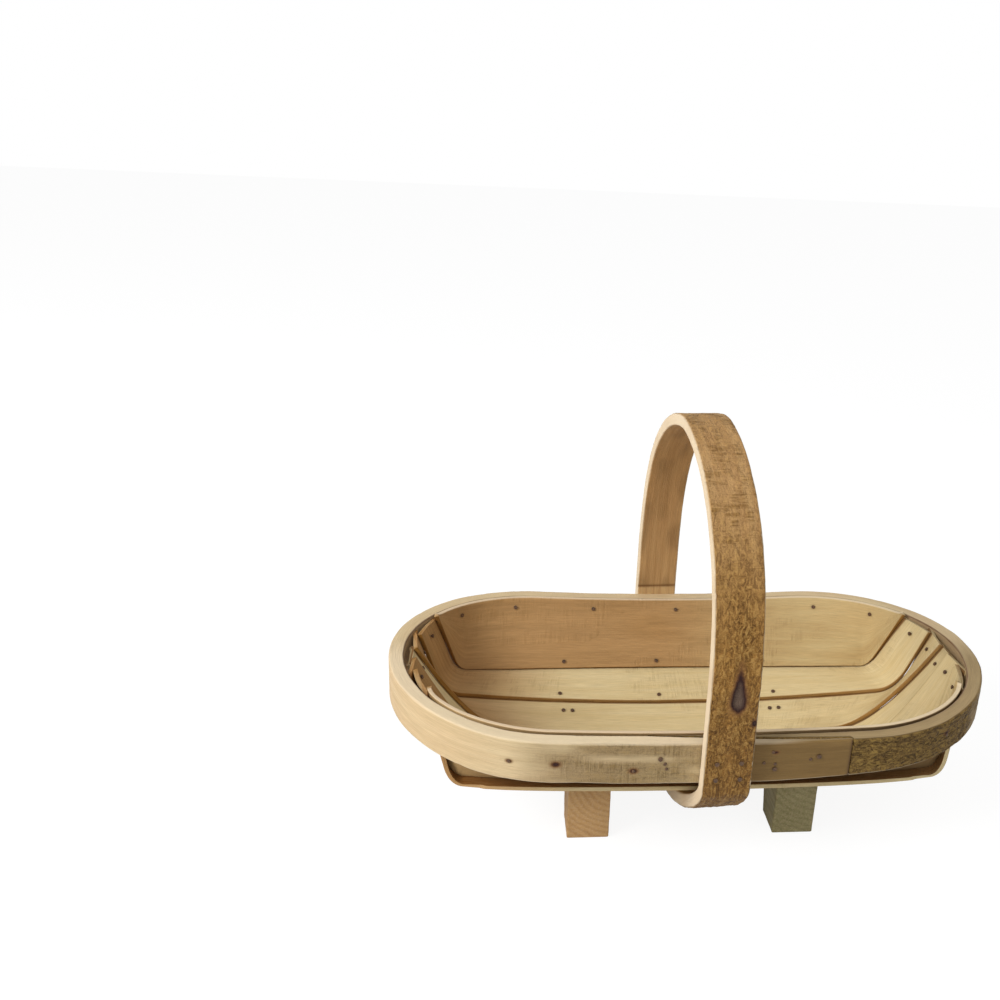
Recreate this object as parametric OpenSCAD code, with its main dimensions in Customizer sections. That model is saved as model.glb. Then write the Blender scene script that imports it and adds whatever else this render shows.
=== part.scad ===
// Trug garden basket: a bent wood rim and handle hoop, seven thin boards bent
// lengthwise and lapped, four block feet and the nails that hold them together.
// X runs along the basket, Y across it, and Z = 0 is the floor under the feet.

/* [Rim] */
// Overall length of the rim hoop
rim_length = 406; // [340:2:460]
// Overall width of the rim hoop
rim_width = 210; // [194:2:234]
// Height of the rim strip
rim_height = 28; // [22:1:32]
// Thickness of the rim strip
rim_thickness = 10; // [8:0.5:12]
// Height of the rim's top edge above the floor, at mid-length
rim_top = 102; // [94:1:125]
// Rise of the rim's top edge from mid-length to each end
rim_sheer = 9; // [0:1:16]
// Where the strip's outer end stops, along X
lap_end_x = 84; // [78:1:94]
// Length of the lap where the two ends of the strip are scarfed together
lap_length = 125; // [120:5:160]
// Thickness left at the outer end of the strip
lap_tip = 2.5; // [1.5:0.5:4]

/* [Handle] */
// Width of the handle strip
handle_width = 30; // [22:1:34]
// Thickness of the handle strip
handle_thickness = 9; // [7:0.5:11]
// Height of the top of the handle above the rim
handle_rise = 174; // [120:2:220]
// Turn of the handle about the vertical, as it was nailed on
handle_yaw = 3; // [0:1:6]
// How far the handle stands off the middle, along X
handle_shift = 0; // [-10:1:10]
// How far the flat that seats the handle on the rim reaches above the rim
seat_rise = 4; // [2:1:8]
// Length of the lap where the ends of the handle strip meet under the boards
handle_lap = 56; // [30:2:70]

/* [Boards] */
// Thickness of every board
board_thickness = 3; // [2.4:0.2:3.6]
// How far the boards stand above the rim
board_proud = 2.5; // [0:0.5:4]
// Width of each board that is hidden behind the next one up
board_lap = 9; // [6:1:12]
// Half the distance across the basket between the lower edges of the side boards
side_seam_y = 72; // [68:1:76]
// Drop from the rim to the lower edge of a side board
side_seam_drop = 47; // [42:1:52]
// Half the distance between the lower edges of the second boards
second_seam_y = 45; // [40:1:50]
// Drop from the rim to the lower edge of a second board
second_seam_drop = 60; // [56:1:64]
// Half the distance between the lower edges of the third boards
third_seam_y = 16; // [12:1:24]
// Drop from the rim to the lower edge of a third board
third_seam_drop = 72; // [69:0.5:75]

/* [Board bends] */
// Distance past the centres of the rim's end arcs at which a side board's edge turns up
side_bend_past = 60; // [54:1:61]
// How far a side board's lower edge has come in across the basket at that bend
side_bend_in = 7; // [6:1:12]
// How far a side board's lower edge has risen at that bend
side_bend_rise = 3; // [2:1:10]
// Distance past the arc centres at which a second board's edge turns up
second_bend_past = 70; // [62:1:74]
// How far a second board's lower edge has come in at that bend
second_bend_in = 13; // [8:1:20]
// How far a second board's lower edge has risen at that bend
second_bend_rise = 17; // [12:1:22]
// Distance past the arc centres at which a third board's edge turns up
third_bend_past = 48; // [42:1:56]
// How far a third board's lower edge has come in at that bend
third_bend_in = 3; // [0:1:5]
// How far a third board's lower edge has risen at that bend
third_bend_rise = 10; // [6:1:14]
// Angle round the rim's end, from the Y axis, at which a side board stops
side_end_angle = 57; // [52:1:60]
// Angle round the rim's end at which a second board stops
second_end_angle = 75; // [70:1:78]
// Angle round the rim's end at which a third board stops
third_end_angle = 86; // [82:1:87]
// Width of the pointed end of a side board
side_tip = 4; // [2:1:8]

/* [Feet] */
// Distance of each foot from the middle, along X
foot_x = 70; // [60:1:90]
// Width of a foot, along X
foot_width = 28; // [20:1:36]
// Distance of a foot's outer end from the middle, along Y
foot_end_y = 59; // [56:1:60]
// Length of a foot at the top
foot_top_length = 34; // [26:1:34]
// Length of a foot on the floor
foot_base_length = 25; // [16:1:34]

/* [Nails] */
// Diameter of a nail's shank
nail_d = 1.6; // [1.2:0.1:2]
// Diameter of a nail's head
nail_head_d = 2.8; // [2.2:0.2:4]
// Height of a nail's head
nail_head_h = 0.6; // [0.4:0.1:1]
// Depth that a nail goes into the wood behind the first piece
nail_bite = 5; // [3:0.5:6]

/* [Hidden] */

// Gap left where two pieces bear on each other
seat = 0.3;
// Gap round a nail's shank and beyond its point
nail_fit = 0.1;
// Gap under a nail's head, which sits square to the nail on a face that may be a little twisted
head_gap = 0.25;
// Slope at which a hidden lap leaves the underside of the board above
lap_ease = 0.12;
// Small step used to take a direction along a curve
step = 0.005;
// Length by which a cutter passes the faces that it cuts
over = 1;

half_width = rim_width / 2;
// Centres of the half circles at the ends of the rim
arc_x = (rim_length - rim_width) / 2;
inner_r = half_width - rim_thickness;
rim_bottom = rim_top - rim_height;
// Share of a board's half length at which its lower edge turns up to the rim
bend_t = 0.84;
board_stations = 60;

// The three lower edges that show inside, from the rim down
seam_y = [side_seam_y, second_seam_y, third_seam_y];
seam_drop = [side_seam_drop, second_seam_drop, third_seam_drop];
// Where each edge turns up
bend_past_arc = [side_bend_past, second_bend_past, third_bend_past];
bend_in = [side_bend_in, second_bend_in, third_bend_in];
bend_rise = [side_bend_rise, second_bend_rise, third_bend_rise];
// How much of the half length each turn is rounded over
bend_round = [0.03, 0.06, 0.16];
// Angle round the end of the rim at which each edge reaches it, from the Y axis
end_angle = [side_end_angle, second_end_angle, third_end_angle];

function lerp(a, b, f) = a + (b - a) * f;
function unit(v) = v / norm(v);
function ramp(a, b, v) = max(0, min(1, (v - a) / (b - a)));
function sheer(x) = rim_sheer * pow(2 * x / rim_length, 2);
function rim_z(x) = rim_top + sheer(x) + board_proud;

// Point inside the rim at radius r, at a share t of the way from mid-length to a side board's tip
function on_rim(r, t) =
    let (
        reach = arc_x + inner_r * end_angle[0] * PI / 180 - side_tip,
        s = abs(t) * reach,
        a = max(0, s - arc_x) / inner_r * 180 / PI,
        x = sign(t) * (min(s, arc_x) + r * sin(a))
    ) [x, r * cos(a), rim_z(x)];

// A lower edge of a board: along the basket, round a bend, and up to the rim
function seam_bend(k) = [
    arc_x + bend_past_arc[k],
    seam_y[k] - bend_in[k],
    rim_top - seam_drop[k] + bend_rise[k]
];
function seam_rim(k) =
    let (
        r = inner_r - seat - 2 * board_thickness,
        x = arc_x + r * sin(end_angle[k])
    ) [x, r * cos(end_angle[k]), rim_z(x)];
function seam_run(k, t) =
    let (f = t / bend_t, b = seam_bend(k))
    [b.x * f, lerp(seam_y[k], b.y, f * f), lerp(rim_top - seam_drop[k], b.z, f * f)];
function seam_climb(k, t) = lerp(seam_bend(k), seam_rim(k), (t - bend_t) / (1 - bend_t));
function seam_half(k, t) =
    let (r = bend_round[k], u = ramp(bend_t - r, bend_t + r, t))
    t < bend_t - r ? seam_run(k, t)
    : t > bend_t + r ? seam_climb(k, t)
    : pow(1 - u, 2) * seam_run(k, bend_t - r) + 2 * u * (1 - u) * seam_bend(k)
        + u * u * seam_climb(k, bend_t + r);
function seam(k, t) = let (p = seam_half(k, abs(t))) [sign(t) * p.x, p.y, p.z];
function seam_along(k, t) =
    unit(seam(k, min(1, t + step)) - seam(k, max(-1, t - step)));

// Board k at station t: its lower edge, the direction up its face and its outward normal.
// Boards 0, 1 and 2 are the side, second and third boards of the back half.
function board_up(k, t) =
    k == 0 ? unit(on_rim(inner_r - seat - board_thickness, t) - seam(0, t))
    : unit(under_seam(k, t) - seam(k, t));
function board_out(k, t) = unit(cross(board_up(k, t), seam_along(k, t)));
// The edge of the board above, which bears on the inner face of board k
function under_seam(k, t) =
    seam(k - 1, t) + board_out(k - 1, t) * (board_thickness + seat / 2);
// The lap runs out over the bend, before the board enters the rim
function lap_at(t) = board_lap * (1 - ramp(bend_t - 0.1, bend_t + 0.04, abs(t)));
function board_section(k, t) =
    let (low = seam(k, t), out = board_out(k, t) * board_thickness)
    k == 0 ? [low, on_rim(inner_r - seat - board_thickness, t), on_rim(inner_r - seat, t), low + out]
    : let (
        knee = under_seam(k, t),
        high = knee + lap_run(k, board_up(k, t), t),
        high_out = high + board_thickness * unit(board_out(k, t) + lap_normal(k, board_up(k, t), t))
    ) [low, knee, high, high_out, knee + out, low + out];
// The hidden lap goes straight on, or lies along the board above where it would cut into it
function lap_up(k, up, t) =
    let (n = board_out(k - 1, t)) unit(up - n * min(0, up * n - lap_ease));
function lap_run(k, up, t) = lap_up(k, up, t) * max(0.1, lap_at(t));
function lap_normal(k, up, t) =
    let (n = board_out(k - 1, t)) up * n < lap_ease ? n : unit(n - up * (up * n));
function centre_section(t) =
    let (
        q = under_seam(3, t),
        along = unit(under_seam(3, min(1, t + step)) - under_seam(3, max(-1, t - step))),
        out = unit(cross([0, 1, 0], along)) * board_thickness,
        high = q + lap_run(3, [0, 1, 0], t) * 0.8,
        inner = [flip_y(high), flip_y(q), q, high],
        outer = [for (p = inner) p + out]
    ) concat(inner, [outer[3], outer[2], outer[1], outer[0]]);
function flip_y(p) = [p.x, -p.y, p.z];

// Point on the inner face of board k, a distance w above its lower edge
function on_board(k, t, w) = seam(k, t) + board_up(k, t) * w;
function board_span(k, t) =
    k == 0 ? norm(on_rim(inner_r - seat - board_thickness, t) - seam(0, t))
    : norm(under_seam(k, t) - seam(k, t));

function strip_faces(n, m, closed) = concat(
    [for (i = [0:n - (closed ? 1 : 2)], j = [0:m - 1])
        [i * m + j, i * m + (j + 1) % m, (i + 1) % n * m + (j + 1) % m]],
    [for (i = [0:n - (closed ? 1 : 2)], j = [0:m - 1])
        [i * m + j, (i + 1) % n * m + (j + 1) % m, (i + 1) % n * m + j]],
    closed ? [] : end_faces(0, m, false),
    closed ? [] : end_faces((n - 1) * m, m, true)
);
// A section's corners run along its inner side and back along its outer side
function end_faces(first, m, far) = [
    for (j = [0:m / 2 - 2], half = [0, 1])
        let (a = first + j, b = a + 1, c = first + m - 2 - j, d = c + 1)
        half == 0 ? (far ? [a, b, c] : [a, c, b]) : (far ? [a, c, d] : [a, d, c])
];

// A strip through many-cornered sections, open with two ends or closed on itself
module strip(sections, closed = false) {
    polyhedron(
        points = [for (s = sections, p = s) p],
        faces = strip_faces(len(sections), len(sections[0]), closed),
        convexity = 8
    );
}

function stations() = [for (i = [-board_stations / 2:board_stations / 2]) 2 * i / board_stations];

// Nails. A site is the point under the head, the way the nail points and its length.
function rim_nail_site(t) =
    let (
        p = on_board(0, t, board_span(0, t) - 9),
        rim_p = on_rim(inner_r, t),
        radial = unit(rim_p - on_rim(inner_r - 1, t)),
        out = board_out(0, t),
        gap = norm([rim_p.x - p.x, rim_p.y - p.y]) / (out * radial)
    ) [p, out, gap + nail_bite];
function end_nail_site(k, t) =
    [on_board(k, t, board_span(k, t) / 2), board_out(k, t), board_thickness + nail_bite];
function centre_nail_site(side) =
    let (s = centre_section(side * end_nail_t), n = unit(s[5] - s[2]))
    [(s[1] + s[2]) / 2, n, board_thickness + nail_bite];
function seam_nail_site(k, t) =
    [on_board(k, t, 5), board_out(k, t), 2 * board_thickness + 0.6];

rim_nail_t = [-0.86, -0.62, -0.3, 0.04, 0.33, 0.62, 0.86];
seam_nail_t = [-0.42, -0.04, 0.4];
end_nail_t = 1 - 2 / board_stations;

module at_site(site) {
    d = site[1];
    translate(site[0])
        rotate([0, acos(d.z), atan2(d.y, d.x)])
            children();
}

module nail(site) {
    at_site(site) {
        translate([0, 0, -head_gap])
            cylinder(d = nail_d, h = site[2] + head_gap, $fn = 16);
        translate([0, 0, -nail_head_h - head_gap])
            cylinder(d = nail_head_d, h = nail_head_h, $fn = 20);
    }
}

module nail_hole(site) {
    at_site(site)
        translate([0, 0, -over])
            cylinder(d = nail_d + 2 * nail_fit, h = site[2] + over + 3 * nail_fit, $fn = 16);
}

module front() {
    mirror([0, 1, 0]) children();
}

module side_nail_holes() {
    for (t = rim_nail_t) nail_hole(rim_nail_site(t));
}

module end_nail_holes(side) {
    for (k = [1, 2]) nail_hole(end_nail_site(k, side * end_nail_t));
}

// Every hole in the boards of the back half
module board_holes() {
    side_nail_holes();
    for (side = [-1, 1]) end_nail_holes(side);
    for (k = [0, 1], t = seam_nail_t) nail_hole(seam_nail_site(k, t));
    for (side = [-1, 1], i = [-1, 1]) nail_hole(foot_nail_site(side, i));
}

// The rim: a flat strip bent round and scarfed to itself on the front
module stadium(r) {
    for (x = [-arc_x, arc_x]) translate([x, 0]) circle(r = r, $fn = 160);
    translate([-arc_x, -r]) square([2 * arc_x, 2 * r]);
}

module sheer_band() {
    n = 24;
    reach = rim_length / 2 + over;
    xs = [for (i = [0:n]) reach * (2 * i / n - 1)];
    rotate([90, 0, 0])
        linear_extrude(height = rim_width + 2 * over, center = true)
            polygon(concat(
                [for (x = xs) [x, rim_top + sheer(x)]],
                [for (i = [n:-1:0]) [xs[i], rim_bottom + sheer(xs[i])]]
            ));
}

// The thin slanting gap between the two ends of the rim strip
module lap_slot() {
    start = lap_end_x - lap_length;
    outer = -half_width;
    inner = -inner_r;
    translate([0, 0, rim_bottom - over])
        linear_extrude(height = rim_height + rim_sheer + 2 * over)
            polygon([
                [lap_end_x, outer - over], [lap_end_x + seat, outer - over],
                [lap_end_x + seat, outer + lap_tip + seat],
                [start, inner + over + seat], [start - seat, inner + over + seat],
                [start - seat, inner - seat], [lap_end_x, outer + lap_tip]
            ]);
}

lap_nail_x = [lap_end_x - 118, lap_end_x - 47, lap_end_x - 20];
function lap_nail_site(i) =
    [[lap_nail_x[i], -half_width, rim_top - rim_height * (i % 2 == 0 ? 0.35 : 0.65)],
     [0, 1, 0], rim_thickness - 1.5];

module rim_hoop() {
    color("wheat")
    difference() {
        intersection() {
            translate([0, 0, rim_bottom - over])
                linear_extrude(height = rim_height + rim_sheer + 2 * over)
                    difference() {
                        stadium(half_width);
                        stadium(inner_r);
                    }
            sheer_band();
        }
        lap_slot();
        for (i = [0:len(lap_nail_x) - 1]) nail_hole(lap_nail_site(i));
        side_nail_holes();
        front() side_nail_holes();
        for (side = [-1, 1]) {
            end_nail_holes(side);
            front() end_nail_holes(side);
            nail_hole(centre_nail_site(side));
        }
        handle_frame() for (side = [-1, 1]) handle_leg_holes(side);
    }
}

// The handle: a strip bent into a hoop in its own YZ plane, round the rim and under the boards
handle_stations = 96;
// Fullness of the arch, sideways and upwards, and of the turn under the boards
arch_y_power = 1.7;
arch_z_power = 3.4;
turn_power = 1.3;
handle_floor = centre_section(0)[5].z - seat;
handle_flat_y = third_seam_y + board_lap + 2;

function arch_point(a) =
    [half_width * pow(abs(cos(a)), 2 / arch_y_power) * sign(cos(a)),
     rim_top + (handle_rise - handle_thickness) * pow(sin(a), 2 / arch_z_power)];
function turn_point(side, a) =
    [side * (handle_flat_y + (half_width - handle_flat_y) * pow(cos(a), 2 / turn_power)),
     rim_bottom - (rim_bottom - handle_floor) * pow(sin(a), 2 / turn_power)];
// Stations closer together near the rim, where the arch starts to bend
function handle_path() = concat(
    [for (i = [0:40]) arch_point(180 * (i / 40 - sin(360 * i / 40 * 2) / 40))],
    [for (i = [0:14]) turn_point(-1, 90 * i / 14)],
    [for (i = [14:-1:0]) turn_point(1, 90 * i / 14)]
);
function handle_normal(p, i) =
    let (n = len(p), d = p[(i + 1) % n] - p[(i + n - 1) % n]) [d.y, -d.x] / norm(d);
function handle_sections() =
    let (p = handle_path(), w = handle_width / 2)
    [for (i = [0:len(p) - 1])
        let (o = p[i] + handle_normal(p, i) * handle_thickness)
        [[w, p[i].x, p[i].y], [-w, p[i].x, p[i].y], [-w, o.x, o.y], [w, o.x, o.y]]];

module handle_frame() {
    translate([handle_shift, 0, 0]) rotate([0, 0, handle_yaw]) children();
}

function handle_nail_site(side, i) =
    [[(i % 2 == 0 ? -1 : 1) * handle_width / 4,
      side * (half_width + handle_thickness),
      rim_top - rim_height * (i < 2 ? 0.28 : 0.68)],
     [0, -side, 0], handle_thickness + nail_bite];
function handle_bottom_site(i) =
    [[(i == 0 ? -1 : 1) * handle_width / 5, (i == 0 ? -1 : 1) * 12, handle_floor - handle_thickness],
     [0, 0, 1], handle_thickness + board_thickness - 0.6];

module handle_leg_holes(side) {
    for (i = [0:3]) nail_hole(handle_nail_site(side, i));
}

module handle_hoop() {
    color("peru")
    difference() {
        handle_frame() strip(handle_sections(), true);
        // The flats that bear on the rim
        translate([-rim_width / 2, -half_width - seat, rim_bottom - seat])
            cube([rim_width, 2 * (half_width + seat), rim_height + seat_rise + seat]);
        handle_frame() {
            handle_lap_slot();
            for (side = [-1, 1]) handle_leg_holes(side);
            for (i = [0, 1]) nail_hole(handle_bottom_site(i));
        }
    }
}

// The thin slanting gap between the two ends of the handle strip
module handle_lap_slot() {
    h = handle_lap / 2;
    top = handle_floor;
    bottom = handle_floor - handle_thickness;
    rotate([90, 0, 90])
        linear_extrude(height = handle_width + 2 * over, center = true)
            polygon([
                [-h, top + over], [-h + seat, top + over], [-h + seat, top - over],
                [h, bottom + over], [h, bottom - over], [h - seat, bottom - over],
                [h - seat, bottom + over - seat], [-h, top - over - seat]
            ]);
}

// The boards
module board_back(k) {
    difference() {
        strip([for (t = stations()) board_section(k, t)]);
        board_holes();
    }
}

module side_board_back() { color("burlywood") board_back(0); }
module side_board_front() { color("burlywood") front() board_back(0); }
module second_board_back() { color("palegoldenrod") board_back(1); }
module second_board_front() { color("palegoldenrod") front() board_back(1); }
module third_board_back() { color("khaki") board_back(2); }
module third_board_front() { color("khaki") front() board_back(2); }

module centre_board() {
    color("wheat")
    difference() {
        strip([for (t = stations()) centre_section(t)]);
        for (side = [-1, 1]) nail_hole(centre_nail_site(side));
        handle_frame() for (i = [0, 1]) nail_hole(handle_bottom_site(i));
    }
}

// The feet: blocks with a slanting inner end, their tops fitted to the third boards
function share_at(k, x) = x / seam_bend(k).x * bend_t;
function third_board_z(x, y) =
    let (
        low = seam_run(2, share_at(2, x)),
        above = under_seam(2, share_at(1, x)),
        f = (y - low.y) / (above.y - low.y)
    ) lerp(low.z, above.z, f);
// The top lies just under the third board, and a little lower under that board's lap
function foot_top_z(x, y) =
    third_board_z(x, y) - 1.1 * board_thickness - (y < foot_end_y ? 2 : 4) * seat;
foot_inner_top = foot_end_y - foot_top_length;
foot_inner_base = foot_end_y - foot_base_length;

module foot() {
    x0 = foot_x - foot_width / 2;
    x1 = foot_x + foot_width / 2;
    top = [for (p = [[x0, foot_inner_top], [x1, foot_inner_top], [x1, foot_end_y], [x0, foot_end_y]])
        [p.x, p.y, foot_top_z(x0, p.y)]];
    base = [[x0, foot_inner_base, 0], [x1, foot_inner_base, 0], [x1, foot_end_y, 0], [x0, foot_end_y, 0]];
    difference() {
        polyhedron(
            points = concat(base, top),
            faces = [[0, 1, 2, 3], [7, 6, 5, 4], [0, 4, 5, 1], [1, 5, 6, 2], [2, 6, 7, 3], [3, 7, 4, 0]]
        );
        for (i = [-1, 1]) nail_hole(foot_nail_site(1, i));
    }
}

function foot_nail_site(side, i) =
    let (t = side * share_at(2, foot_x + 3 * i))
    [on_board(2, t, 0.72 * board_span(2, t)), board_out(2, t), board_thickness + 12];

module foot_back_right() { color("tan") foot(); }
module foot_back_left() { color("tan") mirror([1, 0, 0]) foot(); }
module foot_front_right() { color("darkkhaki") front() foot(); }
module foot_front_left() { color("tan") front() mirror([1, 0, 0]) foot(); }

// The nails
module rim_lap_nails() {
    color("dimgray") for (i = [0:len(lap_nail_x) - 1]) nail(lap_nail_site(i));
}
module side_nails() { color("dimgray") for (t = rim_nail_t) nail(rim_nail_site(t)); }
module side_board_nails_back() { side_nails(); }
module side_board_nails_front() { front() side_nails(); }
module board_end_nails(side) {
    color("dimgray") {
        for (k = [1, 2]) {
            nail(end_nail_site(k, side * end_nail_t));
            front() nail(end_nail_site(k, side * end_nail_t));
        }
        nail(centre_nail_site(side));
    }
}
module board_end_nails_left() { board_end_nails(-1); }
module board_end_nails_right() { board_end_nails(1); }
module seam_nails() {
    color("dimgray") for (k = [0, 1], t = seam_nail_t) nail(seam_nail_site(k, t));
}
module seam_nails_back() { seam_nails(); }
module seam_nails_front() { front() seam_nails(); }
module handle_nails(side) {
    color("dimgray") handle_frame() for (i = [0:3]) nail(handle_nail_site(side, i));
}
module handle_nails_front() { handle_nails(-1); }
module handle_nails_back() { handle_nails(1); }
module handle_bottom_nails() {
    color("dimgray") handle_frame() for (i = [0, 1]) nail(handle_bottom_site(i));
}
module foot_nails(side) {
    color("dimgray") for (i = [-1, 1]) {
        nail(foot_nail_site(side, i));
        front() nail(foot_nail_site(side, i));
    }
}
module foot_nails_left() { foot_nails(-1); }
module foot_nails_right() { foot_nails(1); }

rim_hoop();
handle_hoop();
side_board_front();
side_board_back();
second_board_front();
second_board_back();
third_board_front();
third_board_back();
centre_board();
foot_front_left();
foot_front_right();
foot_back_left();
foot_back_right();
rim_lap_nails();
side_board_nails_front();
side_board_nails_back();
board_end_nails_left();
board_end_nails_right();
seam_nails_front();
seam_nails_back();
handle_nails_front();
handle_nails_back();
handle_bottom_nails();
foot_nails_left();
foot_nails_right();
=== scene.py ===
# %% [markdown]
# # A trug garden basket
# A trug is a boat-shaped basket: thin boards bent lengthwise inside a strip of ash
# steamed into a hoop, with a second hoop round the middle as a handle and four blocks
# for feet. The frame brings in the solid model, and every piece here is made round it.

# %% The frame
import math

import bpy
import numpy as np
from mathutils import Matrix, Vector


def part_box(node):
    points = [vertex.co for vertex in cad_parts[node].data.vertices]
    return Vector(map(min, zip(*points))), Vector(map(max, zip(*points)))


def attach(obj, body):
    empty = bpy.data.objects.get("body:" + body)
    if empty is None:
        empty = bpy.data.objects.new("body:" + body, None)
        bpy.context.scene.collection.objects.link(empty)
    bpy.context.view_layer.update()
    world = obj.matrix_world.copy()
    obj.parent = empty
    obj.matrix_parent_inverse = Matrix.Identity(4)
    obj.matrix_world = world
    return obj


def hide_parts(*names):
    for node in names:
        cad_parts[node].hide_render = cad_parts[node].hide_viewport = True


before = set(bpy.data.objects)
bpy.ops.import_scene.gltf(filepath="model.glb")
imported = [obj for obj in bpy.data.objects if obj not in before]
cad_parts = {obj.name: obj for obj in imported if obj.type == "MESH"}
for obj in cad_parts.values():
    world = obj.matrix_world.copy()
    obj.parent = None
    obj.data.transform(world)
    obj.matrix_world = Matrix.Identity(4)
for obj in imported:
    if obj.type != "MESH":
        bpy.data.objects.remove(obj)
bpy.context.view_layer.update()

# %% [markdown]
# ## The sizes
# All shapes are worked out in millimetres, as a maker would write them down, and turned
# into metres as the last step. These are the sizes of the solid model, so that each
# detailed piece lies exactly where its plain solid is.

# %% The sizes, in millimetres
MM = 0.001
RIM_LENGTH, RIM_WIDTH, RIM_HEIGHT, RIM_THICKNESS = 406.0, 210.0, 28.0, 10.0
RIM_TOP, RIM_SHEER = 102.0, 9.0
LAP_TIP_X, LAP_LENGTH, LAP_TIP = 84.0, 125.0, 2.5
HANDLE_WIDTH, HANDLE_THICKNESS, HANDLE_RISE = 30.0, 9.0, 174.0
HANDLE_TURN, HANDLE_LAP = math.radians(3.0), 56.0
BOARD_THICKNESS, BOARD_PROUD, BOARD_LAP = 3.0, 2.5, 9.0
FOOT_X, FOOT_WIDTH, FOOT_END_Y, FOOT_TOP_LENGTH, FOOT_BASE_LENGTH = 70.0, 28.0, 59.0, 34.0, 25.0
SEAT, SIDE_TIP, BEND_T, LAP_EASE = 0.3, 4.0, 0.84, 0.12
HALF_WIDTH = RIM_WIDTH / 2
ARC_X = (RIM_LENGTH - RIM_WIDTH) / 2
INNER_R = HALF_WIDTH - RIM_THICKNESS
RIM_BOTTOM = RIM_TOP - RIM_HEIGHT
HANDLE_FLOOR = 23.68
HANDLE_FLAT_Y = 27.0
ARCH_Y_POWER, ARCH_Z_POWER, TURN_POWER = 1.7, 3.4, 1.3

# Lower edges of the side, second and third boards: at mid-length, at the bend, at the rim
SEAM_Y = [72.0, 45.0, 16.0]
SEAM_DROP = [47.0, 60.0, 72.0]
BEND_PAST_ARC = [60.0, 70.0, 48.0]
BEND_IN = [7.0, 13.0, 3.0]
BEND_RISE = [3.0, 17.0, 10.0]
BEND_ROUND = [0.03, 0.06, 0.16]
END_ANGLE = [57.0, 75.0, 86.0]
print("rim", RIM_LENGTH, "by", RIM_WIDTH, "handle top at", RIM_TOP + HANDLE_RISE)

# %% [markdown]
# ## The camera
# The picture is taken from a little left of the front and about thirty degrees above,
# close enough for the near rim to look longer than the far one, and tilted a little.
# The camera's axes were solved by matching points on the rim, handle and feet.

# %% The camera
CAMERA_AXES = [
    [0.99389, -0.00948, -0.10996],
    [-0.09977, 0.34886, -0.93185],
    [0.04720, 0.93713, 0.34578],
]
camera_data = bpy.data.cameras.new("camera")
camera_data.sensor_width = 36.0
camera_data.lens = 1054.1 / 1000 * 36.0
camera_data.shift_x = -0.1
camera_data.clip_start, camera_data.clip_end = 0.05, 30.0
camera = bpy.data.objects.new("camera", camera_data)
bpy.context.scene.collection.objects.link(camera)
camera.matrix_world = Matrix.Translation(Vector((-0.14122, -0.63701, 0.45515))) @ Matrix(CAMERA_AXES).to_4x4()
bpy.context.scene.camera = camera
print("camera", [round(v, 3) for v in camera.location], "lens", round(camera_data.lens, 1))

# %% [markdown]
# ## Repeatable unevenness
# Split and sawn wood is never quite even. Value noise gives a smooth wobble from a grid
# of repeatable numbers, and several octaves of it give the torn surface of rough wood.
# A hash of the grid position stands in for chance, so each run gives the same basket.

# %% Noise
def lattice(ix, iy, seed):
    """A number from 0 to 1 for a whole-number grid point: multiply, shift and mask the point's bits."""
    h = (ix * 374761393 + iy * 668265263 + seed * 974634777) & 0xFFFFFFFF
    h = ((h ^ (h >> 13)) * 1274126177) & 0xFFFFFFFF
    return ((h ^ (h >> 16)) & 0xFFFF) / 65535.0


def noise(x, y, seed=0):
    """The four lattice numbers round a point, blended by 3f^2 - 2f^3 in each direction."""
    x, y = np.broadcast_arrays(np.asarray(x, float), np.asarray(y, float))
    ix, iy = np.floor(x).astype(np.int64), np.floor(y).astype(np.int64)
    fx, fy = x - ix, y - iy
    fx, fy = fx * fx * (3 - 2 * fx), fy * fy * (3 - 2 * fy)
    low = lattice(ix, iy, seed) * (1 - fx) + lattice(ix + 1, iy, seed) * fx
    high = lattice(ix, iy + 1, seed) * (1 - fx) + lattice(ix + 1, iy + 1, seed) * fx
    return low * (1 - fy) + high * fy


def rough(x, y, seed=0, octaves=4):
    """Octaves of noise, each twice as fine and half as strong, brought to the range -1 to 1."""
    total = sum(noise(x * 2.0 ** i, y * 2.0 ** i, seed + i) * 0.5 ** i for i in range(octaves))
    return total / (1 - 0.5 ** octaves) - 1.0


def ramp(a, b, v):
    """0 below a, 1 above b, and smooth between them."""
    f = np.clip((np.asarray(v, float) - a) / (b - a), 0, 1)
    return f * f * (3 - 2 * f)


def window(a, b, soft, v):
    """1 between a and b, and falling smoothly to 0 over soft outside them."""
    return ramp(a - soft, a, v) * (1 - ramp(b, b + soft, v))


def unit(v):
    """Each vector divided by its own length."""
    return v / np.linalg.norm(v, axis=-1, keepdims=True)


print("noise at (0.5, 0.5):", round(float(noise(0.5, 0.5)), 3))

# %% [markdown]
# ## A strip of wood as one surface
# Rim, handle and boards are all strips: long, flat and bent. Each is a grid of points.
# One direction runs along the strip, the other goes round its section, a rectangle with
# rounded corners. The same ring of numbers, stretched to the width and thickness at each
# station, gives the section everywhere.

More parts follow.
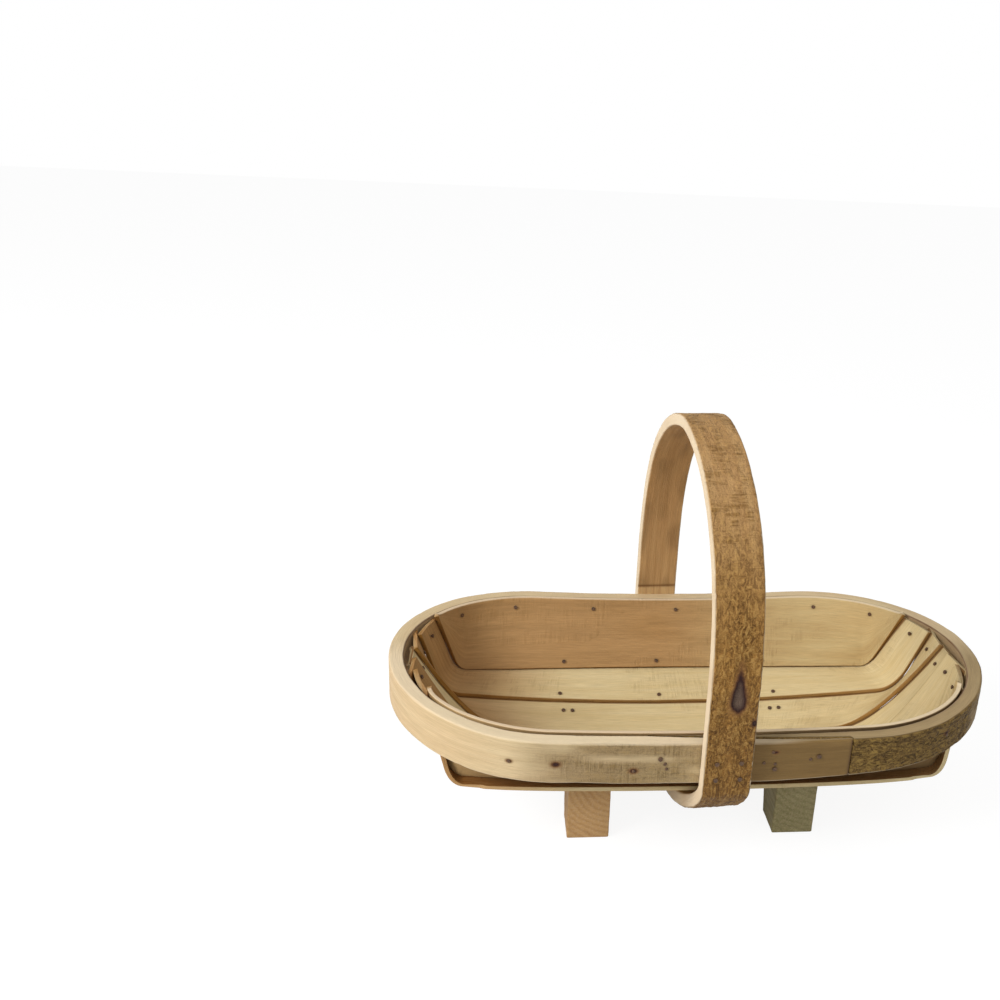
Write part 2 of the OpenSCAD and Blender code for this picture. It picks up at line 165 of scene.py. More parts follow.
# %% The ring round a strip's section
def section_ring(across, through, corner=3):
    """Side and corner parts of a rounded rectangle, as four arrays of one ring.
    A point is side * (half size - radius) + corner * radius; corner is also the way out."""
    turn = np.linspace(0, np.pi / 2, corner + 1)[1:-1]
    wide, thick = np.linspace(-1, 1, across), np.linspace(-1, 1, through)[1:-1]
    parts = []
    for side in range(4):
        angle = side * np.pi / 2
        long_side = side % 2 == 0
        run = wide if long_side else np.linspace(-1, 1, through)
        out = np.array([1.0, 0.0]) if long_side else np.array([0.0, 1.0])
        out = out if side < 2 else -out
        along = np.array([-out[1], out[0]])
        sides = out[None] + run[:, None] * along[None]
        corners = np.repeat(out[None], len(run), 0)
        parts.append(np.hstack([sides, corners]))
        bend = np.cos(turn)[:, None] * out[None] + np.sin(turn)[:, None] * along[None]
        parts.append(np.hstack([np.repeat((out + along)[None], len(turn), 0), bend]))
    ring = np.vstack(parts)
    return ring[:, 0], ring[:, 1], ring[:, 2], ring[:, 3]


def mesh_from_grid(name, points, along, masks, closed=False):
    """Quads between neighbours of a grid whose second direction closes on itself.
    The UV map holds millimetres along the strip and round its section, as metres."""
    n, m = points.shape[:2]
    rows = n if closed else n - 1
    i, j = np.meshgrid(np.arange(rows), np.arange(m), indexing="ij")
    i2, j2 = (i + 1) % n, (j + 1) % m
    quads = np.stack([i * m + j, i2 * m + j, i2 * m + j2, i * m + j2], -1).reshape(-1, 4)
    step = np.linalg.norm(np.roll(points, -1, 1) - points, axis=2).mean(0)
    across = np.concatenate([[0], np.cumsum(step)])
    a, b, c = points[quads[:, 0] // m, quads[:, 0] % m], points.reshape(-1, 3)[quads[:, 1]], points.reshape(-1, 3)[quads[:, 2]]
    inside_out = np.einsum("ij,ij->i", a, np.cross(b, c)).sum() < 0
    u = np.stack([along[i], along[i2 if closed else i + 1], along[i2 if closed else i + 1], along[i]], -1)
    v = np.stack([across[j], across[j], across[j + 1], across[j + 1]], -1)
    uv = np.stack([u, v], -1).reshape(-1, 4, 2)
    if inside_out:
        quads, uv = quads[:, ::-1], uv[:, ::-1]
    faces = quads.tolist()
    uv = uv.reshape(-1, 2)
    if not closed:
        first, last = list(range(m)), list(range((n - 1) * m, n * m))
        faces += [first, last[::-1]] if not inside_out else [first[::-1], last]
        ends = points[[0, -1]]
        flat = [np.stack([np.full(m, along[k]) + (e - e.mean(0))[:, 2] * 0.2, across[:-1]], -1) for k, e in zip((0, -1), ends)]
        uv = np.vstack([uv, flat[0] if not inside_out else flat[0][::-1], flat[1][::-1] if not inside_out else flat[1]])
    mesh = bpy.data.meshes.new(name)
    mesh.from_pydata((points.reshape(-1, 3) * MM).tolist(), [], faces)
    layer = mesh.uv_layers.new(name="grain")
    layer.data.foreach_set("uv", (uv * MM).astype(np.float32).ravel())
    for key, values in masks.items():
        attribute = mesh.attributes.new(key, "FLOAT", "POINT")
        attribute.data.foreach_set("value", np.broadcast_to(values, (n, m)).astype(np.float32).ravel())
    mesh.polygons.foreach_set("use_smooth", np.ones(len(mesh.polygons), bool))
    mesh.set_sharp_from_angle(angle=math.radians(50))
    return mesh


def place(name, mesh, material, node):
    """Adds the mesh as a piece that stands for a CAD node and moves with the basket."""
    piece = bpy.data.objects.new(name, mesh)
    bpy.context.scene.collection.objects.link(piece)
    mesh.materials.append(material)
    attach(piece, "root")
    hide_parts(node)
    print(name, "faces:", len(mesh.polygons))
    return piece


# %% [markdown]
# ## Where the boards run
# Seven boards make the hull. Each board's lower edge runs nearly level along the basket,
# turns up at a bend and climbs to the rim, and the next board down is nailed behind it.
# An edge is given by three points, at mid-length, at the bend and at the rim, with the
# corner at the bend rounded by a quadratic curve.

# %% The boards' edges
def sheer(x):
    """The rim rises towards its ends with the square of the distance from the middle."""
    return RIM_SHEER * (2 * x / RIM_LENGTH) ** 2


def on_rim(r, t):
    """A point at radius r inside the rim, a share t of the way from mid-length to a side board's tip."""
    reach = ARC_X + INNER_R * math.radians(END_ANGLE[0]) - SIDE_TIP
    s = np.abs(t) * reach
    a = np.maximum(0, s - ARC_X) / INNER_R
    x = np.sign(t) * (np.minimum(s, ARC_X) + r * np.sin(a))
    return np.stack([x, r * np.cos(a), RIM_TOP + sheer(x) + BOARD_PROUD], -1)


def seam(k, t):
    """The lower edge of board k: a parabola to the bend, a straight climb, and a rounded corner."""
    bend = np.array([ARC_X + BEND_PAST_ARC[k], SEAM_Y[k] - BEND_IN[k], RIM_TOP - SEAM_DROP[k] + BEND_RISE[k]])
    r = INNER_R - SEAT - 2 * BOARD_THICKNESS
    x = ARC_X + r * math.sin(math.radians(END_ANGLE[k]))
    end = np.array([x, r * math.cos(math.radians(END_ANGLE[k])), RIM_TOP + sheer(x) + BOARD_PROUD])
    middle = np.array([0, SEAM_Y[k], RIM_TOP - SEAM_DROP[k]])

    def run(s):
        f = (s / BEND_T)[..., None]
        return np.concatenate([bend[:1] * f, middle[1:] + (bend[1:] - middle[1:]) * f * f], -1)

    def climb(s):
        return bend + (end - bend) * ((s - BEND_T) / (1 - BEND_T))[..., None]

    s, w = np.abs(t), BEND_ROUND[k]
    u = np.clip((s - BEND_T + w) / (2 * w), 0, 1)[..., None]
    low, high = run(np.full_like(s, BEND_T - w)), climb(np.full_like(s, BEND_T + w))
    corner = (1 - u) ** 2 * low + 2 * u * (1 - u) * bend + u * u * high
    p = np.where((s < BEND_T - w)[..., None], run(s), np.where((s > BEND_T + w)[..., None], climb(s), corner))
    return p * np.stack([np.where(t < 0, -1.0, 1.0), np.ones_like(t), np.ones_like(t)], -1)


def along_seam(k, t):
    """The direction of the edge: the difference of two points a small step apart, made a unit."""
    return unit(seam(k, np.minimum(1, t + 0.005)) - seam(k, np.maximum(-1, t - 0.005)))


def under_seam(k, t):
    """The line on board k that the lower edge of the board above bears on."""
    return seam(k - 1, t) + board_out(k - 1, t) * (BOARD_THICKNESS + SEAT / 2)


def board_up(k, t):
    """The way across board k, from its lower edge to the rim or to the board above."""
    high = on_rim(INNER_R - SEAT - BOARD_THICKNESS, t) if k == 0 else under_seam(k, t)
    return unit(high - seam(k, t))


def board_out(k, t):
    """Across the board crossed with along the board: the way out of the hull."""
    return unit(np.cross(board_up(k, t), along_seam(k, t)))


def board_span(k, t):
    """Width of board k that shows inside."""
    high = on_rim(INNER_R - SEAT - BOARD_THICKNESS, t) if k == 0 else under_seam(k, t)
    return np.linalg.norm(high - seam(k, t), axis=-1)


def on_board(k, t, w):
    """A point on the inner face of board k, w above its lower edge, at one station."""
    t = np.array([float(t)])
    return (seam(k, t) + board_up(k, t) * w)[0]


def lap_frame(k, up, t):
    """Direction and outward normal of the hidden lap, kept off the underside of the board above."""
    n = board_out(k - 1, t)
    lean = (up * n).sum(-1, keepdims=True)
    direction = unit(up - n * np.minimum(0, lean - LAP_EASE))
    return direction, np.where(lean < LAP_EASE, n, unit(n - up * lean))


def lap_width(t):
    """The lap is narrower past the bend, where the boards close up behind each other at the rim."""
    f = np.clip((np.abs(t) - (BEND_T - 0.1)) / 0.14, 0, 1)
    return BOARD_LAP * np.maximum(0.9, 1 - f)


print("bends of the three edges at x =", [ARC_X + b for b in BEND_PAST_ARC])

# %% [markdown]
# ## Where the nails are
# Small wire nails hold the boards to the rim and to each other. Iron stains the wood
# round each nail, so the places of the nails are needed by the boards' materials. The
# nails themselves are the solid model's own.

# %% The nails' places
mirror_y = np.array([1.0, -1.0, 1.0])
back_nails = [on_board(0, t, board_span(0, np.array([t]))[0] - 9) for t in (-0.86, -0.62, -0.3, 0.04, 0.33, 0.62, 0.86)]
back_nails += [on_board(k, t, 5) for k in (0, 1) for t in (-0.42, -0.04, 0.4)]
back_nails += [on_board(k, s * 29 / 30, board_span(k, np.array([29 / 30]))[0] / 2) for k in (1, 2) for s in (-1, 1)]
foot_t = [(FOOT_X + d) / (ARC_X + BEND_PAST_ARC[2]) * BEND_T for d in (-3, 3)]
back_nails += [on_board(2, s * t, 0.72 * board_span(2, np.array([t]))[0]) for t in foot_t for s in (-1, 1)]
board_nails = np.vstack([back_nails, np.array(back_nails) * mirror_y])
rim_nail_x = [LAP_TIP_X - 118, LAP_TIP_X - 47, LAP_TIP_X - 20]
rim_nails = np.array([[x, -HALF_WIDTH, RIM_TOP - RIM_HEIGHT * h] for x, h in zip(rim_nail_x, (0.35, 0.65, 0.35))])
cos_turn, sin_turn = math.cos(HANDLE_TURN), math.sin(HANDLE_TURN)


def turned(p):
    """Turns points about the vertical, as the handle was nailed on a little askew."""
    x, y = p[..., 0], p[..., 1]
    return np.stack([x * cos_turn - y * sin_turn, x * sin_turn + y * cos_turn, p[..., 2]], -1)


handle_nails = turned(np.array([
    [(-1 if i % 2 == 0 else 1) * HANDLE_WIDTH / 4, side * (HALF_WIDTH + HANDLE_THICKNESS),
     RIM_TOP - RIM_HEIGHT * (0.28 if i < 2 else 0.68)] for side in (-1, 1) for i in range(4)]))


def near(points, places, radius):
    """For each grid point, the largest of exp(-(distance / radius)^2) over the places."""
    found = np.zeros(points.shape[:-1])
    for place_ in places:
        found = np.maximum(found, np.exp(-((points - place_) ** 2).sum(-1) / radius ** 2))
    return found


print("nails that stain:", len(board_nails), len(rim_nails), len(handle_nails))

# %% [markdown]
# ## Wood as a material
# Four effects make up every piece of wood here: long grain, the ripples that a saw
# leaves across a strip, the torn texture of the outer side of a bent hoop, and the rings
# of end grain. The first three are node groups with plain inputs, and give masks and
# heights only; the rings are worked out in the feet's own material.
# The grain follows the strip, because it reads the UV map in metres along and across.

# %% Helpers for node trees
def new_group(name, inputs, outputs):
    """An empty shader group with these sockets, and its input and output nodes."""
    group = bpy.data.node_groups.new(name, "ShaderNodeTree")
    for label, kind, value in inputs:
        socket = group.interface.new_socket(name=label, in_out="INPUT", socket_type=kind)
        if value is not None:
            socket.default_value = value
    for label, kind in outputs:
        group.interface.new_socket(name=label, in_out="OUTPUT", socket_type=kind)
    return group, group.nodes.new("NodeGroupInput"), group.nodes.new("NodeGroupOutput")


def link(tree, source, target):
    """Joins an output socket to an input socket."""
    tree.links.new(source, target)


def math_node(tree, operation, *values, clamp=False):
    """A Math node with numbers or sockets as its inputs; gives its output."""
    node = tree.nodes.new("ShaderNodeMath")
    node.operation, node.use_clamp = operation, clamp
    for k, value in enumerate(values):
        if isinstance(value, (int, float)):
            node.inputs[k].default_value = value
        else:
            link(tree, value, node.inputs[k])
    return node.outputs[0]


def scaled(tree, vector, scale):
    """The vector with each part multiplied by its own factor."""
    node = tree.nodes.new("ShaderNodeMapping")
    node.inputs["Scale"].default_value = scale
    link(tree, vector, node.inputs["Vector"])
    return node.outputs[0]


def noise_node(tree, vector, scale=1.0, detail=3.0, roughness=0.55, distortion=0.0):
    """A Noise Texture's factor."""
    node = tree.nodes.new("ShaderNodeTexNoise")
    node.inputs["Scale"].default_value = scale
    node.inputs["Detail"].default_value = detail
    node.inputs["Roughness"].default_value = roughness
    node.inputs["Distortion"].default_value = distortion
    link(tree, vector, node.inputs["Vector"])
    return node.outputs[0]


def spread(tree, value, low, high, to_low=0.0, to_high=1.0):
    """Brings the range low to high to another range, clamped."""
    node = tree.nodes.new("ShaderNodeMapRange")
    for key, number in (("From Min", low), ("From Max", high), ("To Min", to_low), ("To Max", to_high)):
        node.inputs[key].default_value = number
    link(tree, value, node.inputs["Value"])
    return node.outputs[0]


def mix_colour(tree, factor, a, b, mode="MIX"):
    """A Mix Color node; a and b are sockets or colours."""
    node = tree.nodes.new("ShaderNodeMix")
    node.data_type, node.blend_type = "RGBA", mode
    for socket, value in ((node.inputs[0], factor), (node.inputs[6], a), (node.inputs[7], b)):
        if isinstance(value, (int, float)):
            socket.default_value = value
        elif isinstance(value, tuple):
            socket.default_value = (*value, 1.0)
        else:
            link(tree, value, socket)
    return node.outputs[2]


def mask(tree, name):
    """A mesh attribute's value."""
    node = tree.nodes.new("ShaderNodeAttribute")
    node.attribute_name = name
    return node.outputs["Fac"]


# %% Long grain
grain, g_in, g_out = new_group(
    "long_grain",
    [("Vector", "NodeSocketVector", None)],
    [("Streaks", "NodeSocketFloat"), ("Fibres", "NodeSocketFloat"), ("Clouds", "NodeSocketFloat")],
)
streaks = noise_node(grain, scaled(grain, g_in.outputs[0], (9, 230, 1)), detail=4, distortion=0.6)
fibres = noise_node(grain, scaled(grain, g_in.outputs[0], (70, 1900, 1)), detail=3, roughness=0.6)
clouds = noise_node(grain, scaled(grain, g_in.outputs[0], (10, 26, 1)), detail=3, distortion=0.8)
link(grain, spread(grain, streaks, 0.33, 0.68), g_out.inputs[0])
link(grain, spread(grain, fibres, 0.3, 0.7), g_out.inputs[1])
link(grain, spread(grain, clouds, 0.34, 0.66), g_out.inputs[2])

# %% Saw ripples and torn wood
saw, s_in, s_out = new_group(
    "saw_ripples",
    [("Vector", "NodeSocketVector", None)],
    [("Height", "NodeSocketFloat"), ("Dark", "NodeSocketFloat")],
)
lines = noise_node(saw, scaled(saw, s_in.outputs[0], (520, 45, 1)), detail=3, roughness=0.6, distortion=0.4)
broken = noise_node(saw, scaled(saw, s_in.outputs[0], (60, 120, 1)), detail=3)
ripple = math_node(saw, "MULTIPLY", spread(saw, lines, 0.35, 0.65), spread(saw, broken, 0.38, 0.6))
link(saw, ripple, s_out.inputs[0])
link(saw, spread(saw, ripple, 0.25, 0.85), s_out.inputs[1])

torn, t_in, t_out = new_group(
    "torn_wood",
    [("Vector", "NodeSocketVector", None)],
    [("Height", "NodeSocketFloat"), ("Dark", "NodeSocketFloat"), ("Pale", "NodeSocketFloat")],
)
pits = noise_node(torn, scaled(torn, t_in.outputs[0], (190, 330, 1)), detail=5, roughness=0.66, distortion=1.6)
crumbs = noise_node(torn, scaled(torn, t_in.outputs[0], (1300, 600, 1)), detail=4, roughness=0.7)
height = math_node(torn, "ADD", math_node(torn, "MULTIPLY", pits, 0.7), math_node(torn, "MULTIPLY", crumbs, 0.3))
link(torn, height, t_out.inputs[0])
link(torn, spread(torn, height, 0.49, 0.42), t_out.inputs[1])
link(torn, spread(torn, height, 0.50, 0.59), t_out.inputs[2])
print("node groups:", [g.name for g in bpy.data.node_groups])


# %% One maker of wood materials
def wood(name, light, streak, cloud, torn_colours, grain_bump=0.25):
    """Long grain between light and streak, clouded by cloud; where the piece's masks say so,
    ruddy or weathered wood, torn or sawn texture, pale cut edges, painted shade, dark lines that are
    partly painted shadow, seam lines of painted shadow and joint stain, iron stain and a knot."""
    material = bpy.data.materials.new(name)
    material.use_nodes = True
    tree = material.node_tree
    shader = tree.nodes["Principled BSDF"]
    uv = tree.nodes.new("ShaderNodeUVMap")
    uv.uv_map = "grain"
    groups = {}
    for kind in (grain, saw, torn):
        node = tree.nodes.new("ShaderNodeGroup")
        node.node_tree = kind
        link(tree, uv.outputs[0], node.inputs[0])
        groups[kind.name] = node.outputs
    g, s, t = groups["long_grain"], groups["saw_ripples"], groups["torn_wood"]

    def share(value, amount):
        return math_node(tree, "MULTIPLY", value, amount)

    plain, pitted, crumbly = torn_colours
    colour = mix_colour(tree, share(g["Streaks"], 0.62), light, streak)
    colour = mix_colour(tree, share(g["Clouds"], 0.55), colour, cloud)
    ruddy = mix_colour(tree, g["Streaks"], RUDDY, tuple(0.78 * c for c in RUDDY))
    colour = mix_colour(tree, mask(tree, "ruddy"), colour, ruddy)
    weathered = mix_colour(tree, g["Streaks"], plain, tuple(0.72 * c for c in plain))
    colour = mix_colour(tree, mask(tree, "warm"), colour, weathered)
    fine = spread(tree, g["Fibres"], 0, 1, 0.84, 1.08)
    fine_colour = tree.nodes.new("ShaderNodeCombineColor")
    for channel in range(3):
        link(tree, fine, fine_colour.inputs[channel])
    colour = mix_colour(tree, 1.0, colour, fine_colour.outputs[0], "MULTIPLY")
    saw_mask, torn_mask = mask(tree, "sawn"), mask(tree, "torn")
    colour = mix_colour(tree, share(share(saw_mask, s["Dark"]), 0.75), colour, tuple(0.5 * c for c in plain))
    colour = mix_colour(tree, share(torn_mask, 0.8), colour, weathered)
    colour = mix_colour(tree, share(share(t["Pale"], torn_mask), 0.85), colour, crumbly)
    colour = mix_colour(tree, share(share(t["Dark"], torn_mask), 0.9), colour, pitted)
    colour = mix_colour(tree, mask(tree, "pale"), colour, (0.84, 0.70, 0.50))
    # Painted shade: the 'shade' mask darkens the wood where shade falls, in cracks, on inner faces and under the rim.
    colour = mix_colour(tree, share(mask(tree, "shade"), 0.8), colour, (0.13, 0.065, 0.022))
    uneven = spread(tree, g["Fibres"], 0, 1, 0.75, 1.15)
    # Dark lines: partly painted shadow, in the rim's crack, under the rim and below the handle's rebate shoulder; also
    # darkened chipped edges.
    colour = mix_colour(tree, math_node(tree, "MULTIPLY", mask(tree, "line"), uneven, clamp=True), colour, (0.12, 0.048, 0.013))
    # Seam lines: a painted shadow of the edge of the board above, with stain in the joint.
    seam_shadow_and_stain = share(spread(tree, mask(tree, "seam"), 0.76, 0.88), 0.92)
    colour = mix_colour(tree, math_node(tree, "MULTIPLY", seam_shadow_and_stain, uneven, clamp=True), colour, (0.17, 0.068, 0.012))
    colour = mix_colour(tree, mask(tree, "stain"), colour, (0.06, 0.03, 0.016))
    knot = tree.nodes.new("ShaderNodeValToRGB")
    tones = knot.color_ramp
    tones.elements[0].position, tones.elements[0].color = 0.25, (0.20, 0.09, 0.03, 1)
    tones.elements[1].position, tones.elements[1].color = 0.93, (0.13, 0.085, 0.06, 1)
    tones.elements.new(0.55).color = (0.03, 0.009, 0.008, 1)
    knot_mask = mask(tree, "knot")
    link(tree, knot_mask, knot.inputs[0])
    colour = mix_colour(tree, spread(tree, knot_mask, 0.08, 0.4), colour, knot.outputs[0])
    link(tree, colour, shader.inputs["Base Color"])
    link(tree, spread(tree, g["Streaks"], 0, 1, 0.55, 0.7), shader.inputs["Roughness"])
    shader.inputs["Specular IOR Level"].default_value = 0.18
    relief = share(g["Fibres"], grain_bump)
    relief = math_node(tree, "ADD", relief, share(share(s["Height"], saw_mask), 1.4))
    relief = math_node(tree, "ADD", relief, share(share(t["Height"], torn_mask), 5.5))
    bump = tree.nodes.new("ShaderNodeBump")
    bump.inputs["Strength"].default_value = 0.9
    bump.inputs["Distance"].default_value = 0.0007
    link(tree, relief, bump.inputs["Height"])
    link(tree, bump.outputs[0], shader.inputs["Normal"])
    return material


RUDDY = (0.47, 0.25, 0.095)
golden = ((0.33, 0.16, 0.032), (0.075, 0.030, 0.006), (0.56, 0.33, 0.10))
olive = ((0.19, 0.105, 0.020), (0.05, 0.027, 0.005), (0.33, 0.21, 0.055))
rim_wood = wood("rim_ash", (0.70, 0.56, 0.33), (0.57, 0.42, 0.23), (0.65, 0.47, 0.28), olive)
handle_wood = wood("handle_ash", (0.62, 0.41, 0.19), (0.38, 0.19, 0.07), (0.46, 0.25, 0.10), golden)
side_wood = wood("side_board_wood", (0.60, 0.47, 0.24), (0.50, 0.34, 0.15), (0.55, 0.39, 0.18), golden, grain_bump=0.18)
straw_wood = wood("straw_board_wood", (0.71, 0.585, 0.335), (0.61, 0.46, 0.22), (0.65, 0.49, 0.24), golden, grain_bump=0.18)
print("wood materials:", [m.name for m in bpy.data.materials if m.name.endswith(("ash", "wood"))])

# %% [markdown]
# ## The rim
# The rim is one strip of ash, about a metre long, steamed, bent round a form and
# scarfed: both ends are planed to a long wedge and lie over each other at the front.
# A strip that is swept along the path, with a thickness that shrinks to a wedge at both
# ends, gives the lap with its blunt outer tip. Its outer side keeps the rough, torn skin
# of the split log for part of the way.

# %% The rim strip
def rim_place(s):
    """Position and outward direction at arc length s from the outer tip, going left round the hoop:
    straight front, half circle, straight back, half circle."""
    straight, turn = 2 * ARC_X, math.pi * HALF_WIDTH
    q = (s + ARC_X - LAP_TIP_X) % (2 * straight + 2 * turn)
    left, right = (q - straight) / HALF_WIDTH, (q - 2 * straight - turn) / HALF_WIDTH
    x = np.select([q < straight, q < straight + turn, q < 2 * straight + turn],
                  [ARC_X - q, -ARC_X, q - straight - turn - ARC_X], ARC_X)
    nx = np.select([q < straight, q < straight + turn, q < 2 * straight + turn],
                   [0 * q, -np.sin(left), 0 * q], np.sin(right))
    ny = np.select([q < straight, q < straight + turn, q < 2 * straight + turn],
                   [0 * q - 1, -np.cos(left), 0 * q + 1], -np.cos(right) * -1)
    base_y = 0 * q
    return np.stack([x, base_y], -1), np.stack([nx, ny], -1)


rim_girth = 4 * ARC_X + 2 * math.pi * HALF_WIDTH
s = np.linspace(0, rim_girth + LAP_LENGTH, 1000)
centre, out = rim_place(s)
wedge_out = np.clip(s / LAP_LENGTH, 0, 1)
wedge_in = np.clip((s - rim_girth) / LAP_LENGTH, 0, 1)
inner_depth = LAP_TIP + (RIM_THICKNESS - LAP_TIP) * wedge_out
outer_depth = (LAP_TIP + (RIM_THICKNESS - LAP_TIP) * wedge_in + SEAT) * (s > rim_girth)
outer_depth = np.where(s > rim_girth, outer_depth, 0.0)
inner_depth = np.maximum(inner_depth, outer_depth + 0.15)
side_a, side_b, corner_a, corner_b = section_ring(28, 9, 4)
half = ((inner_depth - outer_depth) / 2)[:, None]
radius = np.minimum(1.3 + 0.5 * rough(s / 23, 0, 3), half[:, 0] * 0.8)[:, None]
depth = ((inner_depth + outer_depth) / 2)[:, None] - (side_a * (half - radius) + corner_a * radius)
up = side_b * (RIM_HEIGHT / 2 - radius) + corner_b * radius
outside = np.clip(corner_a, 0, 1) * np.ones_like(depth)
round_v = np.cumsum(np.hypot(np.diff(side_a, prepend=side_a[0]) * 5, np.diff(side_b, prepend=side_b[0]) * 14))[None]
S = s[:, None]
skin = window(rim_girth - 95, rim_girth + LAP_LENGTH, 6, S)
patches = window(rim_girth - 190, rim_girth - 95, 25, S) * (noise(S / 17, round_v / 9, 5) > 0.52)
torn_mask = outside * np.clip(skin + 0.6 * patches, 0, 1)
rough_patch = window(118, 158, 52, S + 14 * rough(S / 40, round_v / 10, 16)) * ramp(0.2, 0.75, noise(S / 30, round_v / 9, 17) + 0.25)
sawn_mask = 0.5 * outside * rough_patch
torn_mask = np.maximum(torn_mask, 0.3 * outside * rough_patch)
upper = np.clip(corner_a + 0.75 * np.clip(corner_b, 0, 1), 0, 1)
relief = 0.10 * rough(S / 9, round_v / 6, 11) + 0.45 * torn_mask * rough(S / 3.1, round_v / 4.2, 12, 4)
relief += 0.16 * sawn_mask * rough(S / 2.1, round_v / 12, 14, 3)
relief -= 0.30 * ramp(0.35, 0.8, rough(S / 11, 0, 21)) * np.clip(corner_b * corner_b * corner_a * corner_a * 4, 0, 1)
depth = depth - corner_a * relief
up = up + corner_b * relief + 0.35 * rough(S / 45, 0, 8)
x = centre[:, :1] + out[:, :1] * (HALF_WIDTH - depth)
y = centre[:, 1:] + out[:, 1:] * (HALF_WIDTH - depth)
narrower = 4.5 * ramp(20, 150, x) * ramp(20, 60, -y)
z = RIM_TOP - RIM_HEIGHT / 2 + sheer(x) + up + narrower * (0.5 - up / RIM_HEIGHT)
rim_points = np.stack([x, y, z], -1)
small_knots = [[209, 15, 1.6], [181, 14.5, 2.4], [134, 18.5, 2.2], [983, 10, 1.8], [47, 7, 1.4]]
knot_marks = sum(np.exp(-(((S - a) / (1.5 * r)) ** 2 + ((RIM_HEIGHT / 2 - up - b) / r) ** 2)) for a, b, r in small_knots)
rim_masks = {
    "torn": torn_mask,
    "sawn": sawn_mask,
    # Olive outer face from the lap's tip to the middle: partly weathered wood, partly painted shade.
    "warm": np.clip(0.32 * outside * rough_patch + 0.22 * outside * window(92, 190, 25, S) + 0.9 * upper * window(-5, 84, 10, S)
                    + 0.8 * upper * window(rim_girth - 150, rim_girth + LAP_LENGTH, 60, S), 0, 1),
    "ruddy": 0.22 * outside * window(250, 420, 60, S) + 0.3 * np.clip(-corner_a, 0, 1),
    "pale": 0.5 * np.clip(corner_b, 0, 1) * window(60, 330, 40, S) + 0.5 * np.clip(-corner_b * corner_a * 2, 0, 1),
    # Iron stain round the nails; the second term darkens the outer face at the lap's blunt tip.
    "stain": 0.75 * near(rim_points, rim_nails, 1.5) + 0.8 * (1 - ramp(0.2, 1.6, S)) * outside,
    # Painted shade: a dark line on the inner top corner, in the crack above the boards, and under the rim.
    "line": 0.35 * np.clip(-corner_b, 0, 1) * (1 - np.clip(corner_a, 0, 1)) + 0.9 * np.clip(-2 * corner_a * corner_b, 0, 1) * (corner_b > 0),
    # Painted shade on the inner face, and on the outer face from the lap's tip to the middle.
    "shade": 0.5 * np.clip(-corner_a, 0, 1) + 0.3 * outside * window(-5, 84, 10, S),
    "knot": 0.62 * knot_marks * outside,
}
rim_mesh = mesh_from_grid("rim_strip", rim_points, s, rim_masks)
place("rim_strip", rim_mesh, rim_wood, "rim_hoop")

# %% [markdown]
# ## The handle
# The handle is a second hoop, at right angles to the rim, that goes under the hull and
# carries it. Its outer side is the torn outer skin of the log, its edges are sawn clean
# and pale, and there is a dark knot above the rim. The path is a superellipse arch, two
# straight legs at the rim and two rounded turns under the hull, resampled to even steps.

# %% The handle's path
def even_steps(points, count):
    """Points at equal distances along a line through the given points."""
    length = np.concatenate([[0], np.cumsum(np.linalg.norm(np.diff(points, axis=0), axis=1))])
    at = np.linspace(0, length[-1], count)
    return np.stack([np.interp(at, length, points[:, k]) for k in range(2)], -1), at


a = np.linspace(math.pi, 0, 700)
arch = np.stack([HALF_WIDTH * np.abs(np.cos(a)) ** (2 / ARCH_Y_POWER) * np.sign(np.cos(a)),
                 RIM_TOP + (HANDLE_RISE - HANDLE_THICKNESS) * np.sin(a).clip(0) ** (2 / ARCH_Z_POWER)], -1)
a = np.linspace(math.pi / 2, 0, 200)
turn = np.stack([HANDLE_FLAT_Y + (HALF_WIDTH - HANDLE_FLAT_Y) * np.cos(a).clip(0) ** (2 / TURN_POWER),
                 RIM_BOTTOM - (RIM_BOTTOM - HANDLE_FLOOR) * np.sin(a) ** (2 / TURN_POWER)], -1)
flip = np.array([-1.0, 1.0])
path = np.vstack([[[HANDLE_LAP / 2, HANDLE_FLOOR]], turn * flip, arch, turn[::-1], [[-HANDLE_LAP / 2, HANDLE_FLOOR]]])
path, s = even_steps(path, 900)
smooth = np.ones(9) / 9
heading = np.gradient(path, axis=0)
heading = np.stack([np.convolve(np.pad(heading[:, k], 4, mode="edge"), smooth, "valid") for k in range(2)], -1)
out = unit(np.stack([-heading[:, 1], heading[:, 0]], -1))
handle_girth = s[-1]
print("handle strip, mm:", round(handle_girth))

# %% The handle strip
low = (HANDLE_THICKNESS * (1 - s / HANDLE_LAP) + SEAT).clip(0) * (s < HANDLE_LAP)
high = HANDLE_THICKNESS * np.clip((handle_girth - s) / HANDLE_LAP, 0.02, 1)
low = np.minimum(low, HANDLE_THICKNESS - 0.15)
slim = 1 - 0.10 * window(0.36 * handle_girth, 0.60 * handle_girth, 60, s)
side_a, side_b, corner_a, corner_b = section_ring(30, 9, 4)
half = ((high - low) / 2)[:, None]
S = s[:, None]
radius = np.minimum(1.0 + 0.6 * rough(S / 19, np.sign(side_b)[None] * 7.0, 31), half * 0.8).clip(0.05)
rise = (high + low)[:, None] / 2 + side_a * (half * slim[:, None] - radius) + corner_a * radius
wide = side_b * (HANDLE_WIDTH / 2 - radius) + corner_b * radius
outside = np.clip(corner_a, 0, 1) * np.ones_like(rise)
round_v = wide
apex = handle_girth / 2
front_low = 1 - ramp(apex - 170, apex - 60, S)
torn_mask = outside * (0.35 + 0.65 * front_low) * (0.55 + 0.45 * noise(S / 21, round_v / 13, 33))
torn_mask *= 1 - 0.8 * (1 - ramp(60, 110, S))
sawn_mask = outside * (1 - 0.4 * front_low)
knot_s, knot_x = 0.0, 2.0
leg = np.argmin(np.abs(path[:450, 1] - 135) + 1e3 * (path[:450, 0] > 0))
knot_s = s[leg]
